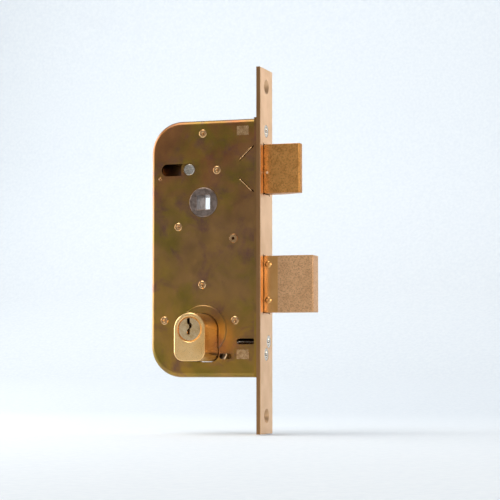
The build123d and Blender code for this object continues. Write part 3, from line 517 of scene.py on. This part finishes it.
# %% [markdown]
# ## Floor, light and camera
# A metal shows what stands round it, so each panel is placed for a surface it reaches. With one
# light on at a time, the key above gives about four fifths of the light on the rolled top edge,
# the wide panel on the left nearly nine tenths on the rolled back edge, and the panel in front on
# the right three fifths on the cylinder's flank. The one behind on the right gives a fifth to a
# third on the forend's face, most at its top. The wash adds about a tenth to the backdrop. The
# sheet, the bolts and the cylinder's face get about three quarters from the world and the key.
#
# Two limits show from behind. The floor ends 14 m away, which is a horizon in a low view, and the
# front panel lights nothing behind itself, which leaves a grey band across the floor.

# %% Floor and backdrop
def grid_mesh(name, rows):
    """Mesh from a grid of points: each cell of the rows-by-columns array becomes one face."""
    count_u, count_v = rows.shape[:2]
    index = np.arange(count_u * count_v).reshape(count_u, count_v)
    quads = np.stack([index[:-1, :-1], index[1:, :-1], index[1:, 1:], index[:-1, 1:]], axis=-1)
    mesh = bpy.data.meshes.new(name)
    mesh.from_pydata(rows.reshape(-1, 3).tolist(), [], quads.reshape(-1, 4).tolist())
    mesh.polygons.foreach_set("use_smooth", np.ones(len(mesh.polygons), bool))
    mesh.update()
    piece = bpy.data.objects.new(name, mesh)
    bpy.context.scene.collection.objects.link(piece)
    return piece


FLOOR_GAP = 0.5 * MM
FLOOR_REACH = 14.0
floor_z = cad_box[0].z - FLOOR_GAP
path = np.array([(-FLOOR_REACH, floor_z), (0.55, floor_z), (0.75, floor_z + 0.03), (0.9, floor_z + 0.12),
                 (0.98, floor_z + 0.28), (1.0, floor_z + 1.6)])
across = np.linspace(-FLOOR_REACH, FLOOR_REACH, 3)
sweep = np.stack([np.stack([np.full(len(path), x), path[:, 0], path[:, 1]], -1) for x in across], 0)
backdrop = grid_mesh("backdrop", sweep)
material, tree, shader, coords = blank("pale_paper")
shader.inputs["Metallic"].default_value = 0.0
shader.inputs["Roughness"].default_value = 0.8
paper = clouds(tree, coords, 3.0, 4.0)
tree.links.new(mixed(tree, spread(tree, paper, 0.3, 0.7, 0.0, 1.0), "DCE4EC", "D5DEE8"),
               shader.inputs["Base Color"])
backdrop.data.materials.append(material)


# %% Lights and camera
def panel(name, place, target, size, power, tint):
    """Square area light at place, facing target."""
    data = bpy.data.lights.new(name, "AREA")
    data.shape = "SQUARE"
    data.size = size
    data.energy = power
    data.color = linear(tint)[:3]
    light = bpy.data.objects.new(name, data)
    bpy.context.scene.collection.objects.link(light)
    light.location = place
    way = np.array(target) - np.array(place)
    light.rotation_mode = "QUATERNION"
    light.rotation_quaternion = Vector(way).to_track_quat("-Z", "Y")
    return light


panel("key", (-0.35, -0.40, 0.90), (-0.02, 0, 0), 0.8, 8.0, "FFF8EE")
panel("edge_left", (-0.90, 0.02, 0.05), (-0.02, 0, 0), 1.1, 16.0, "FFFBF2")
panel("bolt_side", (0.75, 0.9, 0.25), (0, 0, 0), 0.9, 5.0, "FFF4EA")
panel("flank_side", (0.80, -1.00, 0.12), (-0.02, 0, -0.04), 0.5, 5.0, "FFF4E4")
panel("backdrop_wash", (0.0, 0.25, 1.3), (0, 0.9, 0.1), 0.8, 2.5, "FFFFFF")
WORLD_COLOUR, WORLD_STRENGTH = "F2F5FA", 0.37
world = bpy.data.worlds.new("studio")
bpy.context.scene.world = world
world.use_nodes = True
world.node_tree.nodes["Background"].inputs["Color"].default_value = linear(WORLD_COLOUR)
world.node_tree.nodes["Background"].inputs["Strength"].default_value = WORLD_STRENGTH
# The default view makes bright saturated colours paler, and Standard keeps these golds.
bpy.context.scene.view_settings.view_transform = "Standard"

CAMERA_PLACE = (0.3237, -0.9923, -0.0701)
CAMERA_RISE, CAMERA_TURN = 3.86, 18.45  # degrees above level, and round the upright
LENS_MM, SENSOR_MM = 134.2, 36.0
camera_data = bpy.data.cameras.new("camera")
camera = bpy.data.objects.new("camera", camera_data)
bpy.context.scene.collection.objects.link(camera)
camera_data.sensor_width = SENSOR_MM
camera_data.lens = LENS_MM
camera_data.clip_end = 20.0
camera.location = CAMERA_PLACE
camera.rotation_euler = (math.radians(90 + CAMERA_RISE), 0.0, math.radians(CAMERA_TURN))
bpy.context.scene.camera = camera
print("camera distance:", round(camera.location.length, 3))
